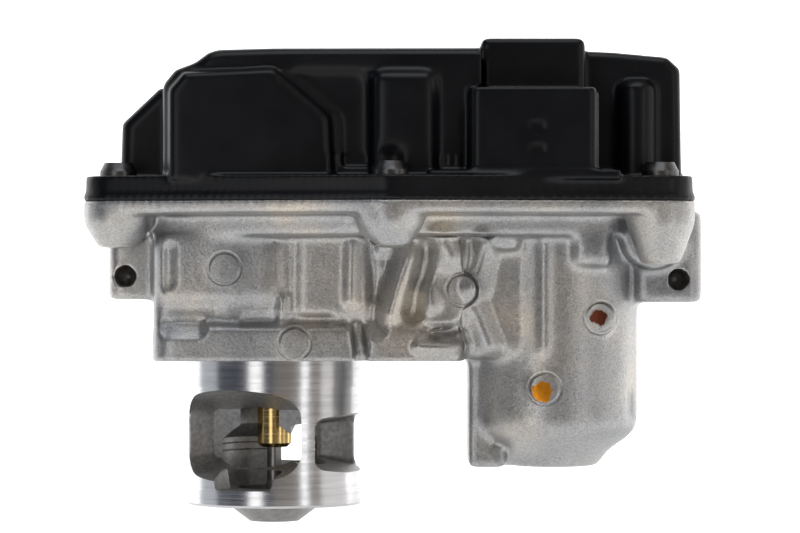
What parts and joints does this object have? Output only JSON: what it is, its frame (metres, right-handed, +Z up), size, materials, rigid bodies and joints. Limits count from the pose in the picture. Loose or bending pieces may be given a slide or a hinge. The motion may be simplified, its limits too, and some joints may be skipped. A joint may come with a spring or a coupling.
{
  "type": "egr valve",
  "caption": "Electric exhaust gas recirculation valve with a ported valve cage, motor pot, gear train under a plastic cover, and a plug socket.",
  "frame": {"origin": "on the valve stem's axis, in the plane of the mounting flange's underside", "axes": "+Z up along the stem towards the cover, +X from the stem towards the motor, -Y the side with the plug and the fixing ears' mouths"},
  "size_m": [0.1519, 0.091, 0.1189],
  "materials": {
    "cast_aluminium": "as-cast, fine grained",
    "turned_aluminium": "fine turned",
    "black_plastic": "satin moulded",
    "dark_steel": "dark coated",
    "bright_steel": "ground",
    "valve_steel": "heat dulled",
    "spring_steel": "drawn wire",
    "lamination_steel": "stacked sheet",
    "brass": "machined",
    "copper_wire": "enamelled",
    "ferrite": "sintered",
    "carbon": "pressed",
    "rubber": "moulded",
    "gear_plastic": "natural nylon",
    "circuit_board": "solder resist"
  },
  "bodies": {
    "valve_body": {"gear_housing": "cast_aluminium", "valve_cage": "turned_aluminium", "valve_seat": "valve_steel", "stem_guide_bush": "brass", "stem_seal": "rubber", "seal_cap": "bright_steel", "spring_seat": "bright_steel", "return_spring": "spring_steel", "yoke_guide_pin": "bright_steel", "cam_gear_pin": "bright_steel", "cam_thrust_washer": "brass", "idler_pin": "bright_steel", "idler_thrust_washer": "brass", "motor_can": "bright_steel", "motor_magnets": "ferrite", "motor_end_plate": "black_plastic", "motor_brushes": "carbon", "motor_bearings": "brass", "motor_cushion_ring": "rubber", "motor_screws": "dark_steel", "motor_leads": "brass", "gearbox_cover": "black_plastic", "connector_pins": "brass", "sensor_board": "circuit_board", "hall_sensor": "carbon", "board_screws": "dark_steel", "cover_seal": "rubber", "cover_sleeves": "brass", "cover_screws": "dark_steel"},
    "motor_rotor": {"armature_core": "lamination_steel", "armature_windings": "copper_wire", "motor_shaft": "bright_steel", "commutator": "copper_wire", "motor_pinion": "brass"},
    "idler": {"idler_gear": "gear_plastic"},
    "cam": {"cam_gear": "gear_plastic", "sensor_magnet": "ferrite"},
    "stem": {"valve_stem": "valve_steel", "stem_yoke": "bright_steel", "roller_pin": "bright_steel", "spring_retainer": "bright_steel"},
    "roller": {"cam_roller": "bright_steel"}
  },
  "joints": [
    {"name": "motor_turn", "type": "hinge", "parent": "valve_body", "child": "motor_rotor", "pos_m": [0.0694, 0, 0.04], "axis": [0, 0, 1], "range_deg": [0, 2444]},
    {"name": "idler_turn", "type": "hinge", "parent": "valve_body", "child": "idler", "pos_m": [0.047, 0, 0.045], "axis": [0, 0, 1], "range_deg": [-666.6, 0]},
    {"name": "cam_turn", "type": "hinge", "parent": "valve_body", "child": "cam", "pos_m": [0.016, 0, 0.053], "axis": [0, 0, 1], "range_deg": [0, 160]},
    {"name": "valve_lift", "type": "slide", "parent": "valve_body", "child": "stem", "axis": [0, 0, -1], "range_m": [0, 0.006], "stiffness_N_per_m": 4300, "springref_m": -0.008, "deforming": ["return_spring"]},
    {"name": "roller_turn", "type": "hinge", "parent": "stem", "child": "roller", "pos_m": [0, 0, 0.04785], "axis": [1, 0, 0], "range_deg": [0, 640]}
  ],
  "couplings": [
    {"joint": "idler_turn", "follows": "motor_turn", "ratio": -0.27273},
    {"joint": "cam_turn", "follows": "motor_turn", "ratio": 0.065455},
    {"joint": "valve_lift", "follows": "motor_turn", "m_per_rad": 0.00014064},
    {"joint": "roller_turn", "follows": "motor_turn", "ratio": 0.26182}
  ]
}
